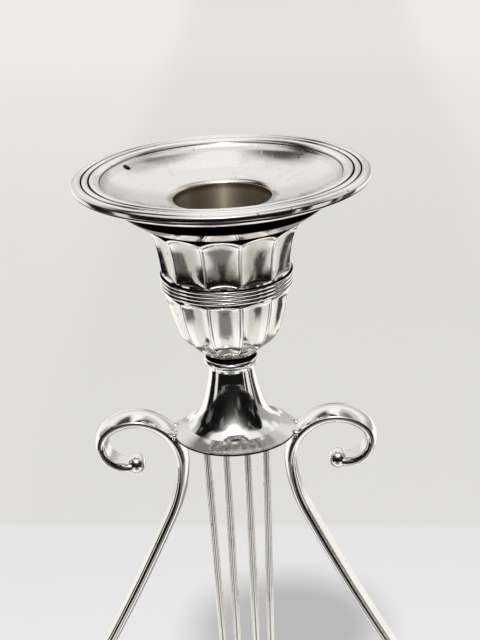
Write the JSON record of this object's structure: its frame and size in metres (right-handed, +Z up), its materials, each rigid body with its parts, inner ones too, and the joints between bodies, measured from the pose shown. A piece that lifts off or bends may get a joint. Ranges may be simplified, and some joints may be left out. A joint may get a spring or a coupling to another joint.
{
  "type": "lyre candlestick",
  "caption": "Table candlestick with a loaded round foot, a lyre with strings, a fluted capital and a lift-out nozzle with a drip pan.",
  "frame": {"origin": "centre of the underside of the baize pad, on the candlestick's axis", "axes": "+Z up along the axis, the lyre in the XZ plane, the viewer in front at -Y"},
  "size_m": [0.125, 0.125, 0.28],
  "materials": {
    "silver": "polished sterling silver, lightly worn, grey-brown tarnish in the flutes and socket",
    "steel": "plain mild steel",
    "pitch": "cast pitch filling, dull",
    "baize": "napped green baize"
  },
  "bodies": {
    "stick": {"baize_pad": "baize", "base_plate": "steel", "base_filling": "pitch", "tie_rod": "steel", "tie_nut": "steel", "tie_washer": "steel", "foot_rim": "silver", "foot_dome": "silver", "foot_band": "silver", "foot_neck": "silver", "foot_ring": "silver", "knop": "silver", "lyre_boss": "silver", "string_foot": "silver", "arm_left": "silver", "arm_right": "silver", "string_outer_left": "silver", "string_inner_left": "silver", "string_inner_right": "silver", "string_outer_right": "silver", "string_head": "silver", "disc": "silver", "neck": "silver", "neck_collar": "silver", "capital_bowl": "silver", "capital_band": "silver", "capital_bell": "silver", "capital_lip": "silver", "capital_liner": "silver", "liner_floor": "silver"},
    "nozzle": {"nozzle_pan": "silver", "nozzle_rim": "silver", "nozzle_tube": "silver", "nozzle_floor": "silver"}
  },
  "joints": [
    {"name": "nozzle_lift", "type": "slide", "parent": "stick", "child": "nozzle", "axis": [0, 0, 1], "range_m": [0, 0.034]}
  ]
}
